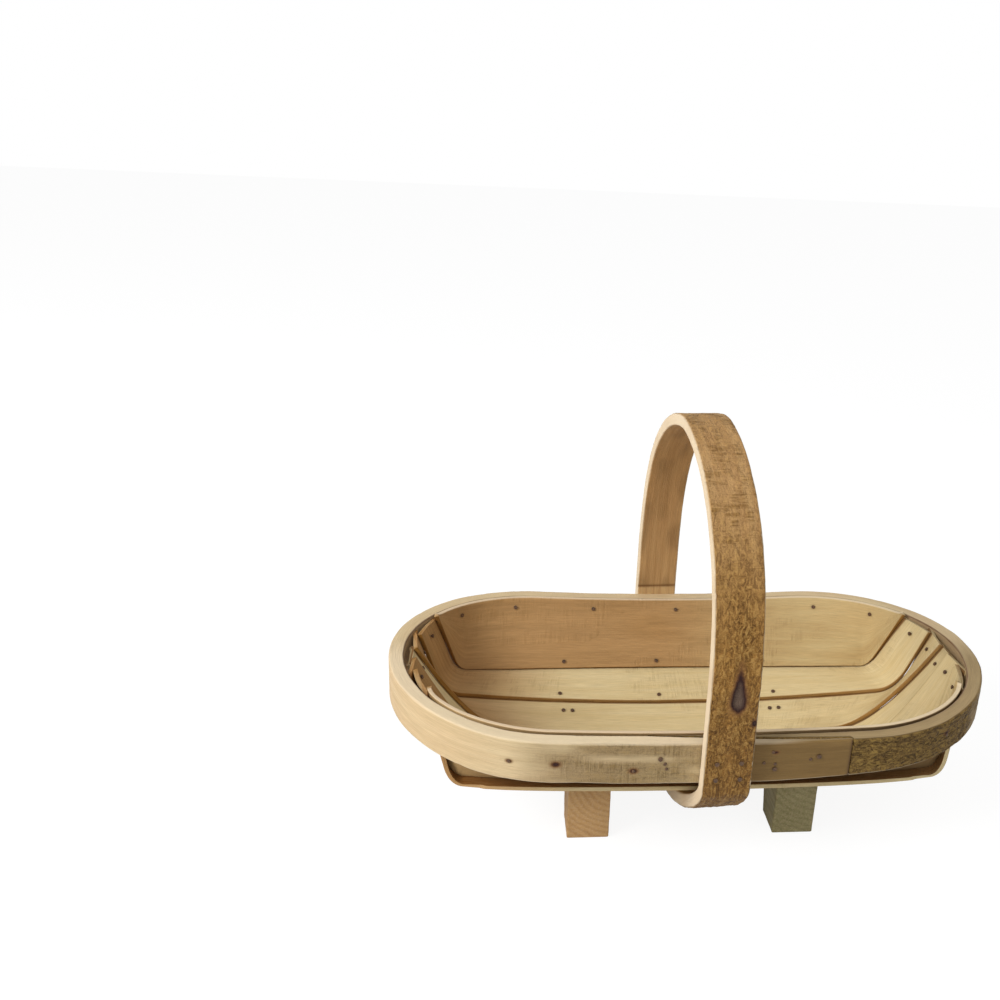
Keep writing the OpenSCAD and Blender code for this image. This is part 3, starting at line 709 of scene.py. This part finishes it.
knot_shape = ((S - knot_s) / (6.0 + 13.0 * (S > knot_s))) ** 2 + ((wide - knot_x) / (4.6 - 1.6 * ramp(0, 18, S - knot_s))) ** 2
knot_mask = outside * np.exp(-knot_shape * (0.9 + 0.3 * rough(S / 2.5, wide / 2.5, 41)))
small_knot = outside * np.exp(-((S - knot_s + 14) / 2.6) ** 2 - ((wide - 13.4) / 2.2) ** 2)
relief = 0.10 * rough(S / 8, round_v / 6, 34) + 0.75 * torn_mask * rough(S / 5.0, round_v / 2.6, 35, 4)
relief += 0.28 * sawn_mask * rough(S / 1.9, round_v / 12, 36, 3) - 0.2 * outside
relief -= 0.9 * ramp(0.45, 0.9, knot_mask) + 0.7 * small_knot
chips = ramp(0.28, 0.7, rough(S / 6.5, np.sign(side_b)[None] * 3.0, 38)) * np.clip(np.abs(corner_b) * np.clip(corner_a, 0, 1) * 3, 0, 1)
relief -= 0.7 * chips
rise = rise + corner_a * relief
wide = wide + corner_b * (relief + 0.3 * rough(S / 60, 0, 37))
y = path[:, :1] + out[:, :1] * rise
z = path[:, 1:] + out[:, 1:] * rise
handle_points = turned(np.stack([wide, y, z], -1))
edge_side = np.clip(np.abs(corner_b) - np.clip(corner_a, 0, 1) * 0.4, 0, 1)
# Painted shade on the handle's lower end, darker towards the bottom under the hull.
low_end_shade = 1 - ramp(90, 260, S)
rebate_below = (1 - ramp(RIM_TOP + 5, RIM_TOP + 7, z)) * (y > 0)
handle_masks = {
    "torn": torn_mask,
    "sawn": sawn_mask,
    "warm": outside * np.clip(0.05 + 0.9 * front_low, 0, 1),
    "ruddy": 0.5 * np.clip(-corner_a, 0, 1) * (1 - rebate_below),
    "pale": 0.85 * edge_side * (0.75 + 0.25 * noise(S / 12, round_v / 4, 39)),
    "stain": 0.75 * near(handle_points, handle_nails, 1.5),
    # Dark lines: darkened chipped edges, and a painted shadow line under the rebate shoulder on the far leg's inner
    # face.
    "line": 0.25 * chips + 0.85 * np.clip(-corner_a, 0, 1) * np.exp(-((z - RIM_TOP - 7) / 0.9) ** 2) * (y > 0),
    # Painted shade: patches on the inner face, and the lower end of the outer face.
    "shade": (0.4 * np.clip(-corner_a, 0, 1) * ramp(0.35, 0.8, noise(S / 22, round_v / 7, 40)) * (1 - rebate_below)
              + 0.4 * outside * low_end_shade),
    "knot": np.maximum(knot_mask, 0.75 * small_knot),
}
handle_mesh = mesh_from_grid("handle_strip", handle_points, s + 1500, handle_masks)
place("handle_strip", handle_mesh, handle_wood, "handle_hoop")

# %% [markdown]
# ## The boards
# Each board is a thin willow board, three millimetres thick, that was soaked and bent
# lengthwise. Its shape follows from the edges above: across the board it is flat from
# its lower edge to the line where the board above bears on it, and then the hidden lap.
# The wood is darkest along the next board's edge, a painted shadow with stain in the joint, and round the nails, and
# painted shade lies on the outer faces under the rim.

# %% One board
TRIMMED_END = 0.992


def board(k, name, node, material, front):
    """A grid along the board and round its section. A point is the lower edge, plus the distance
    across times the board's own direction, plus the depth times the normal."""
    reach = 1.0 if k == 0 else TRIMMED_END
    t = np.linspace(-reach, reach, 341)
    bottom, across, normal, shown = seam(k, t), board_up(k, t), board_out(k, t), board_span(k, t)
    if k == 0:
        lap, lap_way = np.zeros_like(t), across
        rim_out = unit(on_rim(INNER_R, t) - on_rim(INNER_R - 1, t))
        lap_normal = rim_out
    else:
        lap = lap_width(t)
        lap_way, lap_normal = lap_frame(k, across, t)
    total = shown + lap - (1.7 if k == 0 else 0)
    side_a, side_b, corner_a, corner_b = section_ring(40, 5, 3)
    radius = 0.55
    w = total[:, None] / 2 + side_b * (total[:, None] / 2 - radius) + corner_b * radius
    d = BOARD_THICKNESS / 2 + side_a * (BOARD_THICKNESS / 2 - radius) + corner_a * radius
    T = t[:, None]
    length = np.concatenate([[0], np.cumsum(np.linalg.norm(np.diff(bottom, axis=0), axis=1))])
    L = length[:, None] + 700.0 * (k + 1) + (350.0 if front else 0.0)
    wobble = 0.35 * rough(L / 38, 0, 50 + k) * np.clip(-side_b, 0, 1) ** 4
    w = w + wobble
    d = d + corner_a * 0.06 * rough(L / 9, w / 4, 60 + k)
    shown_w = np.minimum(w, shown[:, None])
    lap_w = np.maximum(0, w - shown[:, None])
    if k == 0:
        blend = ramp(0.0, 1.0, w / total[:, None])[..., None]
        n = unit(normal[:, None] * (1 - blend) + lap_normal[:, None] * blend)
    else:
        blend = ramp(-1.5, 1.5, w - shown[:, None])[..., None]
        n = unit(normal[:, None] * (1 - blend) + lap_normal[:, None] * blend)
    p = bottom[:, None] + across[:, None] * shown_w[..., None] + lap_way[:, None] * lap_w[..., None] + n * d[..., None]
    share_up = np.clip(w / shown[:, None], 0, 1)
    bow = (0.0, 1.1, 0.4)[k] * ramp(0.88, 1.0, np.abs(T)) * 4 * share_up * (1 - share_up)
    p = p + n * bow[..., None]
    if front:
        p = p * mirror_y
    inside = np.clip(-corner_a, 0, 1) * np.ones_like(w)
    outer = np.clip(corner_a, 0, 1) * np.ones_like(w)
    gap = shown[:, None] - w
    ends = ramp(BEND_T - 0.05, 1.0, np.abs(T))
    lower = 0 if k == 0 else 1
    # Painted shadow on the outer faces just under the rim, strongest to the right on the front.
    painted_shadow_below_rim = outer * ramp(0.0, 0.45, T) * ((0.95, 0.6, 0.2)[k] if front else 0.4)
    masks = {
        "torn": 0.0 * w,
        "sawn": 0.2 * (noise(L / 60, w / 30, 70 + k) > 0.5),
        "warm": 0.25 * ramp(0.1, 0.8, rough(L / 90, w / 30, 80 + k)) + 0.25 * ramp(0.74, 0.93, -T) * lower
                + 0.75 * np.clip(-corner_b, 0, 1),
        "ruddy": ((0.8 * (1 - ramp(-0.05, 0.6, T)) if k == 0 else 0.85 * ramp(0.35, 0.85, -T)) * (1 - 0.4 * outer)
                  + 0.4 * np.clip(-corner_b, 0, 1) + 0.85 * outer * (gap < 0) * (1 - ramp(-0.2, 0.5, T))),
        "pale": 0.6 * np.clip(corner_b, 0, 1) * (k == 0),
        "stain": 0.40 * near(p, board_nails, 1.3),
        # Seam: a painted shadow of the edge of the board above, with stain in the joint.
        "seam": np.clip(1 - gap / (6.0 * (1 + 0.9 * ends * (T > 0))), 0, 2) * inside * lower,
        # Painted shade: in the seams towards the ends, and on the outer faces below the rim.
        "shade": 0.15 * np.exp(-(gap / 5.0) ** 2) * inside * ends * lower + painted_shadow_below_rim,
        "knot": 0.0 * w,
    }
    mesh = mesh_from_grid(name, p, L[:, 0], masks)
    return place(name, mesh, material, node)


for front, half_name in ((False, "back"), (True, "front")):
    board(0, f"side_board_{half_name}_wood", f"side_board_{half_name}", side_wood, front)
    board(1, f"second_board_{half_name}_wood", f"second_board_{half_name}", straw_wood, front)
    board(2, f"third_board_{half_name}_wood", f"third_board_{half_name}", straw_wood, front)

# %% [markdown]
# ## The middle board
# The middle board lies under both third boards, and so is level across. It has a lap on
# each side, and narrows as the third boards' edges come together towards the rim.

# %% The middle board
t = np.linspace(-TRIMMED_END, TRIMMED_END, 341)
knee = under_seam(3, t)
way = unit(under_seam(3, np.minimum(1, t + 0.005)) - under_seam(3, np.maximum(-1, t - 0.005)))
across = np.broadcast_to(np.array([0.0, 1.0, 0.0]), knee.shape)
normal = unit(np.cross(across, way))
lap_way, _ = lap_frame(3, across, t)
lap = 0.8 * lap_width(t)
side_a, side_b, corner_a, corner_b = section_ring(44, 5, 3)
half_shown = knee[:, 1]
half_total = half_shown + lap
w = side_b * (half_total[:, None] - 0.55) + corner_b * 0.55
d = BOARD_THICKNESS / 2 + side_a * (BOARD_THICKNESS / 2 - 0.55) + corner_a * 0.55
beyond = np.maximum(0, np.abs(w) - half_shown[:, None])
inner_w = np.clip(w, -half_shown[:, None], half_shown[:, None])
p = knee[:, None] * np.array([1.0, 0.0, 1.0]) + inner_w[..., None] * np.array([0.0, 1.0, 0.0])
side_lap = lap_way[:, None] * np.stack([np.ones_like(w), np.sign(w), np.ones_like(w)], -1)
p = p + side_lap * beyond[..., None] + normal[:, None] * d[..., None]
length = np.concatenate([[0], np.cumsum(np.linalg.norm(np.diff(knee, axis=0), axis=1))]) + 4200
inside = np.clip(-corner_a, 0, 1) * np.ones_like(w)
gap = half_shown[:, None] - np.abs(w)
ends = ramp(BEND_T - 0.05, 1.0, np.abs(t))[:, None]
middle_masks = {
    "torn": 0.0 * w,
    "sawn": 0.0 * w,
    "warm": 0.25 * ramp(0.1, 0.8, rough(length[:, None] / 90, w / 30, 90)),
    "ruddy": 0.4 * (1 - inside),
    "pale": 0.2 * np.clip(np.abs(corner_b), 0, 1) * np.ones_like(w),
    "stain": 0.0 * w,
    # Seam: a painted shadow of the third boards' edges, with stain in the joint.
    "seam": np.clip(1 - gap / (6.0 * (1 + 0.5 * ends)), 0, 2) * inside,
    # Painted shade at both ends, where the board meets the rim.
    "shade": 0.45 * ramp(0.97, 1.0, np.abs(t))[:, None] * np.ones_like(w),
    "knot": 0.0 * w,
}
middle_mesh = mesh_from_grid("centre_board_wood", p, length, middle_masks)
place("centre_board_wood", middle_mesh, straw_wood, "centre_board")

# %% [markdown]
# ## The feet
# Four short blocks of willow stand under the third boards. Their grain runs across the
# basket, so the front of each foot shows rings. A solid texture of rings round a line
# along the block gives end grain on the ends and long grain on the sides at once.

# %% The feet's wood
def foot_wood(name, pale_tone, dark_tone, pith):
    """Rings round a line along Y: a wave of the distance from the pith, bent by noise."""
    material = bpy.data.materials.new(name)
    material.use_nodes = True
    tree = material.node_tree
    shader = tree.nodes["Principled BSDF"]
    coords = tree.nodes.new("ShaderNodeTexCoord").outputs["Object"]
    shift = tree.nodes.new("ShaderNodeMapping")
    shift.inputs["Location"].default_value = (-pith[0], 0, -pith[1])
    link(tree, coords, shift.inputs["Vector"])
    wobble = noise_node(tree, scaled(tree, coords, (60, 14, 60)), detail=2)
    parts = tree.nodes.new("ShaderNodeSeparateXYZ")
    link(tree, shift.outputs[0], parts.inputs[0])
    away = math_node(tree, "SQRT", math_node(tree, "ADD", math_node(tree, "POWER", parts.outputs["X"], 2.0),
                                            math_node(tree, "POWER", parts.outputs["Z"], 2.0)))
    phase = math_node(tree, "ADD", math_node(tree, "MULTIPLY", away, 1500.0), math_node(tree, "MULTIPLY", wobble, 7.0))
    rings = math_node(tree, "POWER", spread(tree, math_node(tree, "SINE", phase), -1, 1), 1.6)
    fibres = noise_node(tree, scaled(tree, coords, (900, 60, 900)), detail=4, roughness=0.65)
    clouds = noise_node(tree, scaled(tree, coords, (45, 25, 45)), detail=3)
    saw_lines = noise_node(tree, scaled(tree, coords, (120, 120, 900)), detail=3)
    colour = mix_colour(tree, math_node(tree, "MULTIPLY", rings, 0.42), pale_tone, dark_tone)
    colour = mix_colour(tree, spread(tree, clouds, 0.4, 0.7, 0.0, 0.35), colour, dark_tone)
    colour = mix_colour(tree, spread(tree, fibres, 0.45, 0.75, 0.0, 0.35), colour, (0.62, 0.48, 0.30))
    colour = mix_colour(tree, spread(tree, saw_lines, 0.6, 0.75, 0.0, 0.25), colour, (0.18, 0.10, 0.04))
    link(tree, colour, shader.inputs["Base Color"])
    link(tree, spread(tree, clouds, 0.3, 0.7, 0.6, 0.75), shader.inputs["Roughness"])
    shader.inputs["Specular IOR Level"].default_value = 0.25
    relief = math_node(tree, "ADD", math_node(tree, "MULTIPLY", fibres, 0.8), math_node(tree, "MULTIPLY", saw_lines, 0.8))
    bump = tree.nodes.new("ShaderNodeBump")
    bump.inputs["Strength"].default_value = 0.5
    bump.inputs["Distance"].default_value = 0.0005
    link(tree, relief, bump.inputs["Height"])
    link(tree, bump.outputs[0], shader.inputs["Normal"])
    return material


warm_foot = foot_wood("foot_wood_warm", (0.48, 0.29, 0.12), (0.30, 0.145, 0.05), (-0.050, 0.048))
grey_foot = foot_wood("foot_wood_grey", (0.27, 0.235, 0.11), (0.15, 0.125, 0.05), (0.095, 0.070))


# %% The foot blocks
def foot(name, node, material, sign_x, sign_y):
    """A block swept along Y: the section is a rounded rectangle in X and Z whose inner end slants,
    so y = outer end + share * (inner end at that height - outer end)."""
    box_low, box_high = (1000 * np.array(v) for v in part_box(node))
    top = box_high[2]
    side_a, side_b, corner_a, corner_b = section_ring(24, 18, 4)
    share = np.concatenate([[0, 0.004, 0.012, 0.025], np.linspace(0.05, 0.95, 26), [0.975, 0.988, 0.996, 1.0]])
    pull = 1.0 * (1 - np.sqrt(np.clip(1 - (1 - np.clip(np.minimum(share, 1 - share) / 0.03, 0, 1)) ** 2, 0, 1)))[:, None]
    half_x, half_z = FOOT_WIDTH / 2 - pull, top / 2 - pull
    x = FOOT_X * sign_x + side_a * (half_x - 0.9) + corner_a * 0.9
    z0 = top / 2 + side_b * (half_z - 0.9) + corner_b * 0.9
    inner = FOOT_END_Y - FOOT_BASE_LENGTH + (FOOT_BASE_LENGTH - FOOT_TOP_LENGTH) * (z0 / top)
    y = FOOT_END_Y + share[:, None] * (inner - FOOT_END_Y)
    fall = (y - (FOOT_END_Y - FOOT_TOP_LENGTH)) / FOOT_TOP_LENGTH
    top_here = foot_tops[0] + (foot_tops[1] - foot_tops[0]) * fall
    z = z0 * top_here / top
    uneven = 0.18 * rough(x / 5 + y / 7, z / 5, 101)
    x = x + corner_a * uneven
    z = z + np.where(corner_b > 0, corner_b * uneven, 0)
    p = np.stack([x, y * sign_y, z.clip(0)], -1)
    mesh = mesh_from_grid(name, p, share * FOOT_TOP_LENGTH, {})
    return place(name, mesh, material, node)


foot_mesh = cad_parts["foot_back_right"].data
foot_co = np.empty(len(foot_mesh.vertices) * 3)
foot_mesh.vertices.foreach_get("co", foot_co)
foot_co = foot_co.reshape(-1, 3) * 1000
high_part = foot_co[foot_co[:, 2] > 15]
foot_tops = [high_part[high_part[:, 1] < high_part[:, 1].min() + 0.5][:, 2].max(),
             high_part[high_part[:, 1] > high_part[:, 1].max() - 0.5][:, 2].max()]
print("tops of a foot at its inner and outer end, mm:", [round(float(v), 1) for v in foot_tops])
foot("foot_front_left_block", "foot_front_left", warm_foot, -1, -1)
foot("foot_front_right_block", "foot_front_right", grey_foot, 1, -1)
foot("foot_back_left_block", "foot_back_left", warm_foot, -1, 1)
foot("foot_back_right_block", "foot_back_right", grey_foot, 1, 1)

# %% [markdown]
# ## The nails
# The nails are small round wire nails of plain steel, dulled and browned by rust. Their
# shapes are the solid model's own, so they only need a finish, on Object coordinates.

# %% The nails' finish
nail_steel = bpy.data.materials.new("nail_steel_dull")
nail_steel.use_nodes = True
tree = nail_steel.node_tree
shader = tree.nodes["Principled BSDF"]
coords = tree.nodes.new("ShaderNodeTexCoord").outputs["Object"]
rust = noise_node(tree, coords, scale=900, detail=3)
colour = mix_colour(tree, spread(tree, rust, 0.4, 0.65), (0.085, 0.055, 0.04), (0.17, 0.085, 0.035))
link(tree, colour, shader.inputs["Base Color"])
link(tree, spread(tree, rust, 0.35, 0.7, 0.45, 0.75), shader.inputs["Roughness"])
link(tree, spread(tree, rust, 0.45, 0.6, 0.6, 0.0), shader.inputs["Metallic"])
bump = tree.nodes.new("ShaderNodeBump")
bump.inputs["Strength"].default_value = 0.4
bump.inputs["Distance"].default_value = 0.0002
link(tree, rust, bump.inputs["Height"])
link(tree, bump.outputs[0], shader.inputs["Normal"])
for node_name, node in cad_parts.items():
    if "nails" in node_name:
        for material_slot in node.material_slots:
            material_slot.material = nail_steel
print("nodes with the nails' finish:", sum("nails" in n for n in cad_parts))

# %% [markdown]
# ## The small nails of the rim
# A few finer nails hold splinters of the rim's outer side down. Each is a low dome on a
# short stem: four rings about the nail's axis, the same for every nail, on the rim's
# own outward direction.

# %% The small nails
small_nail_marks = np.array([[209, 15], [134, 18.5], [115, 13.5], [114, 17], [49, 6.5], [54, 14], [47, 15], [25, 12.5], [983, 10]])
rings = np.array([[0.75, -0.9], [1.05, 0.0], [1.05, 0.12], [0.7, 0.34]])
foot_points, nail_out = rim_place(small_nail_marks[:, 0])
nail_centre = np.column_stack([foot_points + nail_out * (HALF_WIDTH + 0.25),
                               RIM_TOP + sheer(foot_points[:, 0] + nail_out[:, 0] * HALF_WIDTH) - small_nail_marks[:, 1]])
axis = np.column_stack([nail_out, np.zeros(len(nail_out))])
level = np.column_stack([-nail_out[:, 1], nail_out[:, 0], np.zeros(len(nail_out))])
turns = np.linspace(0, 2 * np.pi, 12, endpoint=False)
way_round = np.cos(turns)[None, :, None] * level[:, None] + np.sin(turns)[None, :, None] * np.array([0, 0, 1.0])
points = (nail_centre[:, None, None] + rings[None, :, None, :1] * way_round[:, None]
          + rings[None, :, None, 1:] * axis[:, None, None])
ring_faces = [[r * 12 + i, r * 12 + (i + 1) % 12, (r + 1) * 12 + (i + 1) % 12, (r + 1) * 12 + i] for r in range(3) for i in range(12)]
one_nail = ring_faces + [list(range(12))[::-1], list(range(36, 48))]
faces = [[v + 48 * n for v in face] for n in range(len(points)) for face in one_nail]
small_mesh = bpy.data.meshes.new("small_nails")
small_mesh.from_pydata((points.reshape(-1, 3) * MM).tolist(), [], faces)
small_mesh.materials.append(nail_steel)
small_nails = bpy.data.objects.new("small_nails", small_mesh)
bpy.context.scene.collection.objects.link(small_nails)
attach(small_nails, "root")
print("small nails:", len(points))

# %% [markdown]
# ## The floor and the light
# The basket stands on a pale floor under soft light from the upper left. The floor shows
# the camera mostly plain white, through Light Path's Is Camera Ray, and keeps a soft
# shadow. The sky gives even light from all round, and one large lamp shapes the forms.

# %% The floor
size = 6.0
floor_mesh = bpy.data.meshes.new("floor")
floor_mesh.from_pydata([(-size, -size, 0), (size, -size, 0), (size, size, 0), (-size, size, 0)], [], [(0, 1, 2, 3)])
floor = bpy.data.objects.new("floor", floor_mesh)
bpy.context.scene.collection.objects.link(floor)
floor_material = bpy.data.materials.new("pale_floor")
floor_material.use_nodes = True
tree = floor_material.node_tree
plain = tree.nodes["Principled BSDF"]
plain.inputs["Base Color"].default_value = (0.75, 0.75, 0.75, 1)
plain.inputs["Roughness"].default_value = 0.9
plain.inputs["Specular IOR Level"].default_value = 0.1
white = tree.nodes.new("ShaderNodeEmission")
white.inputs["Strength"].default_value = 1.12
path_node = tree.nodes.new("ShaderNodeLightPath")
seen = math_node(tree, "MAXIMUM", path_node.outputs["Is Camera Ray"],
                 math_node(tree, "MAXIMUM", path_node.outputs["Is Glossy Ray"], path_node.outputs["Is Transmission Ray"]))
mixer = tree.nodes.new("ShaderNodeMixShader")
link(tree, math_node(tree, "MULTIPLY", seen, 0.8), mixer.inputs[0])
link(tree, plain.outputs[0], mixer.inputs[1])
link(tree, white.outputs[0], mixer.inputs[2])
below = tree.nodes.new("ShaderNodeMixShader")
link(tree, tree.nodes.new("ShaderNodeNewGeometry").outputs["Backfacing"], below.inputs[0])
link(tree, mixer.outputs[0], below.inputs[1])
link(tree, tree.nodes.new("ShaderNodeBsdfTransparent").outputs[0], below.inputs[2])
link(tree, below.outputs[0], tree.nodes["Material Output"].inputs["Surface"])
floor_mesh.materials.append(floor_material)

# %% The sky and the lamps
world = bpy.data.worlds.new("studio")
bpy.context.scene.world = world
world.use_nodes = True
tree = world.node_tree
sky = tree.nodes["Background"]
sky.inputs["Color"].default_value = (1.0, 1.0, 1.0, 1)
sky.inputs["Strength"].default_value = 0.5
backdrop = tree.nodes.new("ShaderNodeBackground")
backdrop.inputs["Color"].default_value = (1.0, 1.0, 1.0, 1)
backdrop.inputs["Strength"].default_value = 1.0
path_node = tree.nodes.new("ShaderNodeLightPath")
mixer = tree.nodes.new("ShaderNodeMixShader")
link(tree, path_node.outputs["Is Camera Ray"], mixer.inputs[0])
link(tree, sky.outputs[0], mixer.inputs[1])
link(tree, backdrop.outputs[0], mixer.inputs[2])
link(tree, mixer.outputs[0], tree.nodes["World Output"].inputs["Surface"])


def lamp(name, place_, aim, width, power):
    """A square area lamp that faces its aim."""
    data = bpy.data.lights.new(name, "AREA")
    data.size, data.energy = width, power
    lamp_object = bpy.data.objects.new(name, data)
    bpy.context.scene.collection.objects.link(lamp_object)
    lamp_object.location = place_
    lamp_object.rotation_euler = (Vector(aim) - Vector(place_)).to_track_quat("-Z", "Y").to_euler()
    return lamp_object


lamp("key", (-1.8, -0.9, 1.4), (0, 0, 0.1), 0.9, 44.0)
lamp("fill", (0.2, -1.6, 1.8), (0, 0, 0.1), 1.4, 9.0)
bpy.context.scene.view_settings.view_transform = "Standard"
